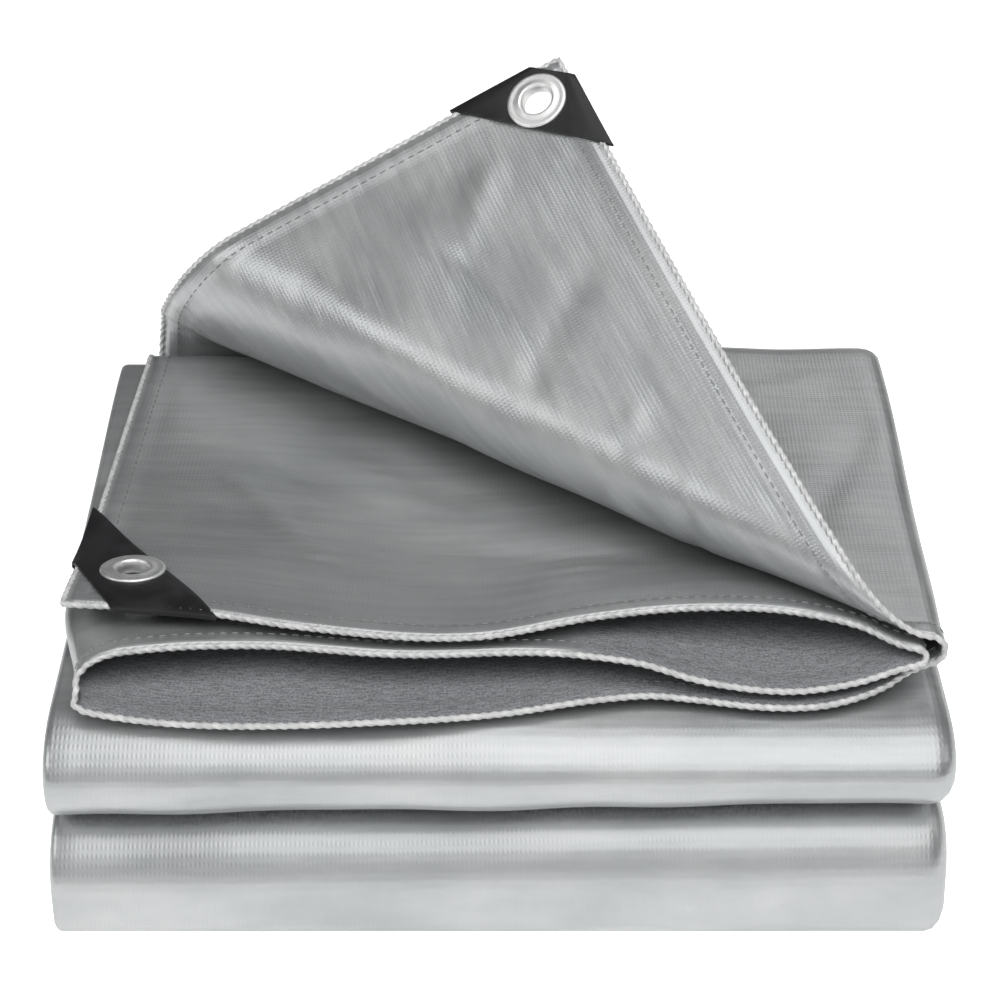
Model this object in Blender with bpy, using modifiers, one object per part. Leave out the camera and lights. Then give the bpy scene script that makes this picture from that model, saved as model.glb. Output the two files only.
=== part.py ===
"""A folded tarp with one corner lifted: one hemmed cloth, two corner patches and two eyelets.

The cloth is folded in half twice across its width, which makes a packet of four plies,
and the packet is then folded back and forth five times into a stack. Metres, +Z up, the
stack's front faces -Y. The origin is on the ground under the middle of the whole.
"""

import math

import bmesh
import bpy
import numpy as np
from mathutils import Matrix, Vector

# The stack
WIDTH = 0.339
DEPTH = 0.293
PLY_PITCH = 0.0055
CLOTH = 0.0012
HEM_CLOTH = 0.0022
HEM_WIDTH = 0.008
STRIP_PITCH = 4 * PLY_PITCH
TURN_RADIUS = STRIP_PITCH / 2
OUTER_OFFSET = 1.5 * PLY_PITCH
INNER_OFFSET = 0.5 * PLY_PITCH
BACK_TURN_Y = DEPTH - TURN_RADIUS - OUTER_OFFSET
FAR_HEM_Y = 0.262
LOWEST_OFFSET = CLOTH / 2 + OUTER_OFFSET
HEM_LINE_Y = 0.045
FAR_HEM_RISES_IN = 0.020
GAP = 0.0003

# Lengths along Y below are from the stack's front, and this is how far behind it the origin is
ORIGIN_Y = 0.1489

# Side folds, as x of each fold's centre
OUTER_FOLD_X = WIDTH / 2 - OUTER_OFFSET
INNER_FOLD_X = OUTER_FOLD_X - 0.002
LEFT_FOLD_X = INNER_OFFSET - WIDTH / 2
UPPER_EDGE_X = -0.168
TOP_EDGE_X = -0.1657

# The stack has five strips of the packet, and a turn joins each to the next. A turn is as
# deep as it is high times its depth, and 2 is round, above and below its middle.
STRIPS = 5
TURNS = (
    # depth, squareness above, squareness below
    (1.00, 3.0, 2.4),
    (1.30, 2.1, 2.8),
    (1.00, 2.2, 2.2),
    (1.10, 2.3, 7.0),
)

# At the front, the slit between the two bulges stands above its even height
SLIT_HEIGHT = 0.0419
SLIT_RISE_LEFT = 0.0035
SLIT_RISE_RIGHT = 0.0095
SLIT_RISE_ENDS_AT = 0.085
SLIT_RISE_FADES_BY = 0.200

# Towards the back, the stack stands higher and the top strip's plies lie closer together
STACK_HEIGHT = 0.105
BACK_RISE = 0.003
BACK_BUNCH = 0.45
BACK_STARTS_AT = 0.110
BUNCH_ENDS_IN = 0.6

# How far in the two free left edges run towards the back
EDGE_SKEW = 0.0115

# The front hem, from the outer fold to the lying corner. Inset moves the hem in x from
# the packet's own place; None is the middle of a fold.
HEM = (
    # ply, x in the packet, inset, y, z
    ("top", TOP_EDGE_X, 0.0, 0.0621, 0.1051),
    ("top", 0.1500, 0.0, 0.0510, 0.1051),
    ("top", OUTER_FOLD_X, 0.0, 0.0507, 0.1046),
    ("outer fold", None, -0.0010, 0.0500, 0.0985),
    ("lower", OUTER_FOLD_X, -0.0005, 0.0490, 0.0925),
    ("lower", 0.1432, 0.0, 0.0384, 0.0885),
    ("lower", 0.1236, 0.0, 0.0305, 0.0868),
    ("lower", 0.1000, 0.0, 0.0293, 0.0865),
    ("lower", 0.0750, 0.0, 0.0335, 0.0870),
    ("lower", 0.0563, 0.0, 0.0350, 0.0880),
    ("lower", 0.0375, 0.0, 0.0324, 0.0880),
    ("lower", 0.0000, 0.0, 0.0245, 0.0868),
    ("lower", -0.0400, 0.0, 0.0200, 0.0865),
    ("lower", -0.1377, 0.0, 0.0215, 0.0865),
    ("lower", -0.1530, 0.0015, 0.0255, 0.0878),
    ("lower", LEFT_FOLD_X, 0.0055, 0.0285, 0.0898),
    ("left fold", None, 0.0065, 0.0310, 0.0915),
    ("middle", LEFT_FOLD_X, 0.0052, 0.0330, 0.0932),
    ("middle", -0.1505, 0.0, 0.0424, 0.0985),
    ("middle", -0.1323, 0.0, 0.0484, 0.1000),
    ("middle", -0.0948, 0.0, 0.0510, 0.1000),
    ("middle", -0.0400, 0.0, 0.0464, 0.0990),
    ("middle", 0.0300, 0.0, 0.0460, 0.0990),
    ("middle", 0.0564, 0.0, 0.0411, 0.0975),
    ("middle", 0.0714, 0.0, 0.0370, 0.0945),
    ("middle", 0.0900, 0.0, 0.0340, 0.0922),
    ("middle", 0.1086, 0.0, 0.0325, 0.0915),
    ("middle", 0.1314, 0.0, 0.0360, 0.0924),
    ("middle", INNER_FOLD_X, -0.0020, 0.0435, 0.0960),
    ("inner fold", None, -0.0010, 0.0455, 0.0985),
    ("upper", INNER_FOLD_X, -0.0020, 0.0475, 0.1008),
    ("upper", 0.1368, 0.0, 0.0586, 0.1040),
    ("upper", 0.1145, 0.0, 0.0640, 0.1065),
    ("upper", 0.0763, 0.0, 0.0660, 0.1075),
    ("upper", 0.0381, 0.0, 0.0621, 0.1060),
    ("upper", -0.0075, 0.0, 0.0510, 0.1040),
    ("upper", -0.0759, 0.0, 0.0565, 0.1050),
    ("upper", -0.1127, 0.0, 0.0657, 0.1055),
    ("upper", UPPER_EDGE_X, 0.0, 0.0721, 0.1055),
)
HEM_SETTLES_IN = 0.060

# The lifted corner: where its fold line starts, which way the line runs, and how it rolls
LIFT_START = (0.1636, 0.0506)
LIFT_ANGLE = 0.7239
ROLL_AT_START = 0.0053
ROLL_AT_BACK = 0.0438
ROLL_LENGTH = 0.43
ROLL_TAPER = 0.674
ROLL_TURN = 2.40
LEAN_BEND = 0.44

# Corner patches, as distances from the cloth's corner along its hem and its side
PATCH_THICKNESS = 0.0041
PATCH_ROOM = 0.0005
PATCH_OVERHANG = 0.0018
ROOM_OVERHANG = 0.004
PATCH_GRID = (5, 7)
PATCHES = {
    # corner: (hem near, hem far, side near, side far)
    "lifted": (0.0121, 0.0549, 0.0125, 0.0515),
    "lying": (0.0191, 0.0600, 0.0395, 0.0920),
}

# Eyelets, each at distances from the cloth's corner along its hem and its side
EYELETS = {
    "lifted": (0.0156, 0.0161),
    "lying": (0.0223, 0.0325),
}
EYELET_HOLE = 0.0130
EYELET_OUTER = 0.0260
EYELET_WALL = 0.0006
EYELET_CROWN = 0.0010
EYELET_STEPS = 28

SHEET_COLUMNS = {
    # ply or fold: number of segments
    "top": 20,
    "outer fold": 4,
    "lower": 13,
    "left fold": 4,
    "middle": 13,
    "inner fold": 4,
    "upper": 12,
}
TOP_STRIP_ROWS = 17
TURN_ROWS = 4
FLAT_ROWS = 2

COLOURS = {
    # node family: (colour, roughness, metallic)
    "cloth": ((0.50, 0.51, 0.52), 0.45, 0.35),
    "patch": ((0.018, 0.018, 0.02), 0.5, 0.0),
    "eyelet": ((0.80, 0.80, 0.79), 0.3, 1.0),
}


def cross_runs():
    """The cloth's path across the packet: name, start, length, x where it starts, offset there."""
    runs = []
    start = 0.0
    for name, length, x, offset in (
        ("top", OUTER_FOLD_X - TOP_EDGE_X, TOP_EDGE_X, OUTER_OFFSET),
        ("outer fold", math.pi * OUTER_OFFSET, OUTER_FOLD_X, OUTER_OFFSET),
        ("lower", OUTER_FOLD_X - LEFT_FOLD_X, OUTER_FOLD_X, -OUTER_OFFSET),
        ("left fold", math.pi * INNER_OFFSET, LEFT_FOLD_X, -OUTER_OFFSET),
        ("middle", INNER_FOLD_X - LEFT_FOLD_X, LEFT_FOLD_X, -INNER_OFFSET),
        ("inner fold", math.pi * INNER_OFFSET, INNER_FOLD_X, -INNER_OFFSET),
        ("upper", INNER_FOLD_X - UPPER_EDGE_X, INNER_FOLD_X, INNER_OFFSET),
    ):
        runs.append((name, start, length, x, offset))
        start += length
    return runs


RUNS = cross_runs()
CLOTH_WIDTH = RUNS[-1][1] + RUNS[-1][2]


def across(s):
    """x in the packet and offset from its middle, at a distance s across the cloth."""
    x = np.zeros_like(s)
    offset = np.zeros_like(s)
    for name, start, length, x_start, offset_start in RUNS:
        first = name == RUNS[0][0]
        last = name == RUNS[-1][0]
        here = (first | (s >= start)) & (last | (s < start + length))
        along = s - start
        if name == "outer fold":
            angle = along / OUTER_OFFSET
            fold_x = x_start + OUTER_OFFSET * np.sin(angle)
            fold_offset = OUTER_OFFSET * np.cos(angle)
        elif name == "left fold":
            angle = along / INNER_OFFSET
            fold_x = x_start - INNER_OFFSET * np.sin(angle)
            fold_offset = -PLY_PITCH - INNER_OFFSET * np.cos(angle)
        elif name == "inner fold":
            angle = along / INNER_OFFSET
            fold_x = x_start + INNER_OFFSET * np.sin(angle)
            fold_offset = -INNER_OFFSET * np.cos(angle)
        else:
            rightward = 1.0 if name in ("top", "middle") else -1.0
            fold_x = x_start + rightward * along
            fold_offset = np.full_like(s, offset_start)
        x = np.where(here, fold_x, x)
        offset = np.where(here, fold_offset, offset)
    return x, offset


def station(ply, x):
    """Distance across the cloth of a row of the hem table."""
    for name, start, length, x_start, _ in RUNS:
        if name == ply:
            return start + (length / 2 if x is None else abs(x - x_start))
    raise ValueError(ply)


def through(stations, values, s):
    """A smooth curve through the values at the stations."""
    stations = np.array(stations)
    values = np.array(values)
    slopes = np.gradient(values, stations)
    i = np.clip(np.searchsorted(stations, s) - 1, 0, len(stations) - 2)
    step = stations[i + 1] - stations[i]
    t = np.clip((s - stations[i]) / step, 0, 1)
    curve = (
        (1 + 2 * t) * (1 - t) ** 2 * values[i]
        + t * (1 - t) ** 2 * step * slopes[i]
        + t**2 * (3 - 2 * t) * values[i + 1]
        - t**2 * (1 - t) * step * slopes[i + 1]
    )
    return curve


def strip_height(strip):
    """Height of the middle of a strip, the top strip being 0."""
    return LOWEST_OFFSET + (STRIPS - 1 - strip) * STRIP_PITCH


def turn_y(turn):
    """y of the middle of a turn. The even turns are at the back."""
    reach = TURNS[turn][0] * (TURN_RADIUS + OUTER_OFFSET)
    return DEPTH - reach if turn % 2 == 0 else reach


def round_turn(turn, radius, angle):
    """Distance out of the turn and height over its middle, at an angle from its top."""
    depth, above, below = TURNS[turn]
    power = 2 / (above if angle < math.pi / 2 else below)
    out = depth * radius * math.sin(angle) ** power
    up = radius * math.copysign(abs(math.cos(angle)) ** power, math.cos(angle))
    return out, up


def soft_step(t):
    t = np.clip(t, 0, 1)
    return t * t * (3 - 2 * t)


def towards_back(y):
    return soft_step((y - BACK_STARTS_AT) / (BACK_TURN_Y - BACK_STARTS_AT))


def settled(x, y, z):
    """Height of a point once the stack has settled unevenly."""
    rightward = np.clip(x / WIDTH + 0.5, 0, 1)
    rise = SLIT_RISE_LEFT + (SLIT_RISE_RIGHT - SLIT_RISE_LEFT) * rightward
    under = soft_step(z / SLIT_HEIGHT)
    over = soft_step((SLIT_RISE_ENDS_AT - z) / (SLIT_RISE_ENDS_AT - SLIT_HEIGHT))
    front = rise * (1 - soft_step(y / SLIT_RISE_FADES_BY)) * np.minimum(under, over)
    back = BACK_RISE * towards_back(y) * np.clip(z / STACK_HEIGHT, 0, 1)
    return z + front + back


def lifted(x, y):
    """Where the lifted corner moves a point of the top ply: shifts in x, in y and upwards."""
    run = np.array((-math.cos(LIFT_ANGLE), math.sin(LIFT_ANGLE)))
    away = np.array((-math.sin(LIFT_ANGLE), -math.cos(LIFT_ANGLE)))
    dx = x - LIFT_START[0]
    dy = y - LIFT_START[1]
    t = dx * run[0] + dy * run[1]
    s = np.maximum(dx * away[0] + dy * away[1], 0)
    taper = np.clip(t / ROLL_LENGTH, 0, 1) ** ROLL_TAPER
    radius = ROLL_AT_START + (ROLL_AT_BACK - ROLL_AT_START) * taper
    rolled = np.minimum(s, ROLL_TURN * radius)
    straight = s - rolled
    lean_angle = ROLL_TURN + LEAN_BEND * straight / 2
    angle = rolled / radius
    out = radius * np.sin(angle) + straight * np.cos(lean_angle) - s
    up = radius * (1 - np.cos(angle)) + straight * np.sin(lean_angle)
    return out * away[0], out * away[1], up


def fold(s, row):
    """Points of the folded cloth. Row is (strip, kind, share): kind is flat or turn, and share
    is how far along it, in the order in which the packet is folded."""
    strip, kind, share = row
    x, offset = across(s)
    rows = [(station(ply, at), inset, y, z, at) for ply, at, inset, y, z in HEM]
    stations = [r[0] for r in rows]
    even = across(np.array(stations))[1] + strip_height(0)
    hem_y = through(stations, [r[2] for r in rows], s)
    hem_inset = through(stations, [r[1] for r in rows], s)
    hem_lift = through(stations, [r[3] - z for r, z in zip(rows, even)], s)
    backward = strip % 2 == 0
    way = 1.0 if backward else -1.0
    free_edge = np.clip(1 - s / RUNS[1][1], 0, 1) + np.clip((s - RUNS[-1][1]) / RUNS[-1][2], 0, 1)
    if kind == "flat":
        starts = hem_y if strip == 0 else turn_y(strip - 1)
        ends = FAR_HEM_Y if strip == STRIPS - 1 else turn_y(strip)
        y = starts + (ends - starts) * share + np.zeros_like(s)
        bunch = (towards_back(y), 1 - soft_step(share / BUNCH_ENDS_IN), 0, 0, 0)[strip]
        skew = (share, 1 - share, 0, 0, 0)[strip]
        offset = offset + BACK_BUNCH * bunch * (OUTER_OFFSET - offset)
        z = strip_height(strip) + way * offset
        if strip == STRIPS - 1:
            seam = FAR_HEM_Y - HEM_WIDTH
            rise = soft_step((y - seam + FAR_HEM_RISES_IN) / FAR_HEM_RISES_IN)
            z = z + (HEM_CLOTH - CLOTH) / 2 * rise
        tangent_y, tangent_z = way, 0.0
        flat_y = y
    else:
        angle = math.pi * share
        skew = 1 if strip == 0 else 0
        if strip == 0:
            offset = offset + BACK_BUNCH * (OUTER_OFFSET - offset)
        turn = TURN_RADIUS + way * offset
        out, up = round_turn(strip, turn, angle)
        y = turn_y(strip) + way * out
        z = strip_height(strip) - TURN_RADIUS + up
        tangent_y, tangent_z = way * math.cos(angle), -math.sin(angle)
        flat_y = turn_y(strip) + turn * angle
    x = x + EDGE_SKEW * skew * free_edge
    if strip == 0:
        top = s < RUNS[1][1]
        if kind == "flat":
            settle = 1 - soft_step((y - hem_y) / HEM_SETTLES_IN)
            x_shift = hem_inset * settle
            z = z + hem_lift * settle
            fade = 1.0
        else:
            x_shift = 0.0
            fade = 1 - soft_step(share)
        lift_x, lift_y, lift_up = lifted(x, flat_y)
        z = settled(x, y, z)
        x = x + x_shift + np.where(top, lift_x, 0) * fade
        y = y + np.where(top, lift_y * tangent_y - lift_up * tangent_z, 0) * fade
        z = z + np.where(top, lift_y * tangent_z + lift_up * tangent_y, 0) * fade
    else:
        z = settled(x, y, z)
    return np.stack([x, y - ORIGIN_Y, z], axis=-1)


def sheet_columns():
    """Distances across the cloth of the grid's columns, with one at each side hem's seam."""
    columns = [0.0, HEM_WIDTH]
    for name, start, length, _, _ in RUNS:
        count = SHEET_COLUMNS[name]
        columns += [start + length * i / count for i in range(1, count + 1)]
    columns.insert(-1, CLOTH_WIDTH - HEM_WIDTH)
    return np.array(columns)


def sheet_rows():
    """The grid's rows, from the front hem through every strip and turn to the far hem."""
    hem_share = HEM_WIDTH / (BACK_TURN_Y - HEM_LINE_Y)
    rows = [(0, "flat", 0.0), (0, "flat", hem_share)]
    for i in range(1, TOP_STRIP_ROWS + 1):
        rows.append((0, "flat", hem_share + (1 - hem_share) * i / TOP_STRIP_ROWS))
    last = STRIPS - 1
    for strip in range(last):
        rows += [(strip, "turn", i / TURN_ROWS) for i in range(1, TURN_ROWS + 1)]
        below = strip + 1
        if below < last:
            rows += [(below, "flat", i / FLAT_ROWS) for i in range(1, FLAT_ROWS + 1)]
    far_length = FAR_HEM_Y - turn_y(last - 1)
    rows += [(last, "flat", 0.5), (last, "flat", 1 - HEM_WIDTH / far_length)]
    rows.append((last, "flat", 1.0))
    return rows


def material(name, family):
    colour, roughness, metallic = COLOURS[family]
    made = bpy.data.materials.new(name)
    made.use_nodes = True
    shader = made.node_tree.nodes["Principled BSDF"]
    shader.inputs["Base Color"].default_value = (*colour, 1.0)
    shader.inputs["Roughness"].default_value = roughness
    shader.inputs["Metallic"].default_value = metallic
    made.diffuse_color = (*colour, 1.0)
    return made


def grid_object(name, collection, points):
    """A flat grid whose corners are then moved to the given points, rows by columns."""
    rows, columns = points.shape[:2]
    bm = bmesh.new()
    bmesh.ops.create_grid(bm, x_segments=columns - 1, y_segments=rows - 1, size=1.0)
    for vertex in bm.verts:
        column = round((vertex.co.x + 1) / 2 * (columns - 1))
        row = round((vertex.co.y + 1) / 2 * (rows - 1))
        vertex.co = Vector(points[row, column])
    mesh = bpy.data.meshes.new(name)
    bm.to_mesh(mesh)
    bm.free()
    made = bpy.data.objects.new(name, mesh)
    collection.objects.link(made)
    return made


def solidify(obj, thickness):
    modifier = obj.modifiers.new("thickness", "SOLIDIFY")
    modifier.thickness = thickness
    modifier.offset = 0.0
    return modifier


def cut(obj, cutter):
    modifier = obj.modifiers.new("cut by " + cutter.name, "BOOLEAN")
    modifier.operation = "DIFFERENCE"
    modifier.solver = "EXACT"
    modifier.object = cutter


def as_cutter(obj):
    obj.hide_render = True
    obj.display_type = "WIRE"


def strip_share(behind):
    """Share of the top strip at a distance behind the front hem."""
    return behind / (BACK_TURN_Y - HEM_LINE_Y)


def corner_point(corner, along_hem, along_side):
    """Point of the cloth near a corner, at distances from it along its hem and its side."""
    s = along_hem if corner == "lifted" else CLOTH_WIDTH - along_hem
    return fold(np.array([s]), (0, "flat", strip_share(along_side)))[0]


def eyelet_place(corner):
    """Centre of the corner's eyelet and the axis through it, upwards."""
    hem, side = EYELETS[corner]
    centre = corner_point(corner, hem, side)
    step = EYELET_OUTER / 2
    hem_way = corner_point(corner, hem + step, side) - corner_point(corner, hem - step, side)
    side_way = corner_point(corner, hem, side + step) - corner_point(corner, hem, side - step)
    axis = Vector(hem_way).cross(Vector(side_way)).normalized()
    if axis.z < 0:
        axis = -axis
    return Vector(centre), axis


def face_along(obj, centre, axis):
    obj.matrix_world = Matrix.Translation(centre) @ axis.to_track_quat("Z", "Y").to_matrix().to_4x4()


def make_tarp(collection, cutters):
    columns = sheet_columns()
    rows = sheet_rows()
    points = np.array([fold(columns, row) for row in rows])
    tarp = grid_object("tarp", collection, points)
    hem = tarp.vertex_groups.new(name="hem")
    count = len(columns)
    edge_columns = (0, 1, count - 2, count - 1)
    edge_rows = (0, 1, len(rows) - 2, len(rows) - 1)
    members = [
        row * count + column
        for row in range(len(rows))
        for column in range(count)
        if row in edge_rows or column in edge_columns
    ]
    hem.add(members, 1.0, "REPLACE")
    modifier = solidify(tarp, HEM_CLOTH)
    modifier.thickness_vertex_group = CLOTH / HEM_CLOTH
    modifier.vertex_group = hem.name
    for corner in PATCHES:
        cut(tarp, cutters["hole_" + corner])
    tarp.data.materials.append(material("silver coated cloth", "cloth"))
    return tarp


def patch_points(corner, overhang, beyond):
    """Grid of the patch's place on the cloth, from its near edge to its far one."""
    hem_near, hem_far, side_near, side_far = PATCHES[corner]
    points = []
    for out in np.linspace(0, 1, PATCH_GRID[0]):
        hem_reach = hem_near - beyond + (hem_far - hem_near + 2 * beyond) * out
        side_reach = side_near - beyond + (side_far - side_near + 2 * beyond) * out
        row = []
        for share in np.linspace(0, 1, PATCH_GRID[1]):
            along_hem = hem_reach * (1 - share) - overhang * share
            along_side = side_reach * share - overhang * (1 - share)
            row.append(corner_point(corner, along_hem, along_side))
        points.append(row)
    return np.array(points)


def make_hole_cutter(name, corner, radius, collection):
    centre, axis = eyelet_place(corner)
    bm = bmesh.new()
    bmesh.ops.create_cone(
        bm,
        cap_ends=True,
        segments=EYELET_STEPS,
        radius1=radius,
        radius2=radius,
        depth=4 * PATCH_THICKNESS,
    )
    mesh = bpy.data.meshes.new(name)
    bm.to_mesh(mesh)
    bm.free()
    cutter = bpy.data.objects.new(name, mesh)
    collection.objects.link(cutter)
    face_along(cutter, centre, axis)
    as_cutter(cutter)
    return cutter


def make_patch(corner, collection, cutter_collection, cutters):
    """A black piece folded over the corner's two hems, with room for the cloth between."""
    patch = grid_object("patch_" + corner, collection, patch_points(corner, PATCH_OVERHANG, 0.0))
    solidify(patch, PATCH_THICKNESS)
    inside = patch_points(corner, PATCH_ROOM, ROOM_OVERHANG)
    room = grid_object("room_" + corner, cutter_collection, inside)
    solidify(room, HEM_CLOTH + 2 * PATCH_ROOM)
    as_cutter(room)
    cut(patch, room)
    cut(patch, cutters["hole_" + corner])
    patch.data.materials.append(material("black patch " + corner, "patch"))
    return patch


def make_eyelet(corner, collection):
    """A pressed ring: a flange on each face of the patch, joined by the barrel through it."""
    hole = EYELET_HOLE / 2
    outer = EYELET_OUTER / 2
    seat = PATCH_THICKNESS / 2 + GAP
    crown = seat + EYELET_CROWN
    back = seat + EYELET_WALL
    profile = (
        (hole, crown - EYELET_WALL),
        (hole + EYELET_WALL, crown),
        (outer - 3 * EYELET_WALL, seat + EYELET_WALL),
        (outer, seat + EYELET_WALL / 2),
        (outer, seat),
        (hole + EYELET_WALL, seat),
        (hole + EYELET_WALL, -seat),
        (outer - EYELET_WALL, -seat),
        (outer - EYELET_WALL, -back),
        (hole, -back),
    )
    bm = bmesh.new()
    corners = [bm.verts.new((radius, 0.0, height)) for radius, height in profile]
    for i, vertex in enumerate(corners):
        bm.edges.new((vertex, corners[(i + 1) % len(corners)]))
    mesh = bpy.data.meshes.new("eyelet_" + corner)
    bm.to_mesh(mesh)
    bm.free()
    eyelet = bpy.data.objects.new("eyelet_" + corner, mesh)
    collection.objects.link(eyelet)
    screw = eyelet.modifiers.new("turned", "SCREW")
    screw.steps = EYELET_STEPS
    screw.render_steps = EYELET_STEPS
    screw.use_merge_vertices = True
    screw.merge_threshold = 0.00001
    centre, axis = eyelet_place(corner)
    face_along(eyelet, centre, axis)
    eyelet.data.materials.append(material("aluminium " + corner, "eyelet"))
    return eyelet


def main():
    for obj in list(bpy.data.objects):
        bpy.data.objects.remove(obj)
    scene_collection = bpy.context.scene.collection
    parts = bpy.data.collections.new("folded_tarp")
    helpers = bpy.data.collections.new("cutters")
    scene_collection.children.link(parts)
    scene_collection.children.link(helpers)
    barrel = EYELET_HOLE / 2 + EYELET_WALL + GAP
    cutters = {
        "hole_" + corner: make_hole_cutter("hole_" + corner, corner, barrel, helpers)
        for corner in PATCHES
    }
    make_tarp(parts, cutters)
    for corner in PATCHES:
        make_patch(corner, parts, helpers, cutters)
        make_eyelet(corner, parts)


main()
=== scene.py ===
"""The looks of a folded silver tarp: cloth, hem rope, stitches, corner patches and eyelets."""

import math

import bmesh
import bpy
import numpy as np
from mathutils import Matrix, Vector


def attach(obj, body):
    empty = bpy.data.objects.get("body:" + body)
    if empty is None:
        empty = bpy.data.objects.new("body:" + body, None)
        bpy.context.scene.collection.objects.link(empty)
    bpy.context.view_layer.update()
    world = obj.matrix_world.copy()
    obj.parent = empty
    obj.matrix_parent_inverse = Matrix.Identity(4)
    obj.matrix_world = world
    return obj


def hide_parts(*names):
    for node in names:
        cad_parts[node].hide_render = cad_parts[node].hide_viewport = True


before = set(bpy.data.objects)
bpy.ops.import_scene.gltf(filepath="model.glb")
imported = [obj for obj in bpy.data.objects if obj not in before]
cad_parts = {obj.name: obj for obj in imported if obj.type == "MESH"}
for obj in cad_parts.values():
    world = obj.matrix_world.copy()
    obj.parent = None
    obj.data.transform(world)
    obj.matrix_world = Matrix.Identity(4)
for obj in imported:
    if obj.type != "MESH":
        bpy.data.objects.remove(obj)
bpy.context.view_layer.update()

# The stack, in the sizes of its solids. The cloth is folded into a packet of four plies, which
# is then folded into strips. Offsets are from the middle of the packet.
WIDTH = 0.339
DEPTH = 0.293
PLY_PITCH = 0.0055
STRIP_PITCH = 4 * PLY_PITCH
TURN_RADIUS = STRIP_PITCH / 2
OUTER_OFFSET = 1.5 * PLY_PITCH
INNER_OFFSET = 0.5 * PLY_PITCH
BACK_TURN_Y = DEPTH - TURN_RADIUS - OUTER_OFFSET
FAR_HEM_Y = 0.262
SOLID_CLOTH = 0.0012
LOWEST_OFFSET = SOLID_CLOTH / 2 + OUTER_OFFSET
HEM_LINE_Y = 0.045
ORIGIN_Y = 0.1489
FAR_HEM_RISES_IN = 0.020
FAR_HEM_RISE = 0.0011

# Where the packet's folds and free edges lie across it
INNER_FOLD_SET_IN = 0.002
OUTER_FOLD_X = WIDTH / 2 - OUTER_OFFSET
INNER_FOLD_X = OUTER_FOLD_X - INNER_FOLD_SET_IN
LEFT_FOLD_X = INNER_OFFSET - WIDTH / 2
UPPER_EDGE_X = -0.168
TOP_EDGE_X = -0.1657

# The cloth and its rolled hem, as thick as they show
CLOTH = 0.0006
HEM_CLOTH = 0.0013
HEM_WIDTH = 0.009
HEM_STEP = 0.0004

# Distances from the cloth's edge of the grid lines that shape its hem, which is sewn down along
# the one before last. No other grid line comes nearer than the clear distance.
HEM_LINES = (0.0, HEM_WIDTH / 2, HEM_WIDTH - HEM_STEP, HEM_WIDTH + HEM_STEP)
SEAM_LINE = 2
GRID_CLEAR_OF_EDGE = HEM_WIDTH * 1.2

# The stack has five strips of the packet, and a turn joins each to the next. A turn is as
# deep as it is high times its depth, and 2 is round, above and below its middle.
STRIPS = 5
TURNS = (
    # depth, squareness above, squareness below, how far it stands back
    (1.00, 3.0, 2.4, 0.0),
    (1.60, 2.0, 3.6, 0.0060),
    (1.00, 2.2, 2.2, 0.0),
    (1.35, 2.0, 7.0, 0.0),
)

# At the front, the slit between the two bulges stands above its even height and is pressed
# nearly shut
SLIT_HEIGHT = 0.0419
SLIT_CLOSES = 0.0016
SLIT_CLOSES_WITHIN = 0.0030
SLIT_RISE_LEFT = 0.0035
SLIT_RISE_RIGHT = 0.0095
SLIT_RISE_ENDS_AT = 0.085
SLIT_RISE_FADES_BY = 0.200

# Towards the back, the stack stands higher and the top strip's plies lie closer together
STACK_HEIGHT = 0.105
BACK_RISE = 0.003
BACK_BUNCH = 0.45
BACK_STARTS_AT = 0.110
BUNCH_ENDS_IN = 0.6

# How far in the two free left edges run towards the back
EDGE_SKEW = 0.0115

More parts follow.
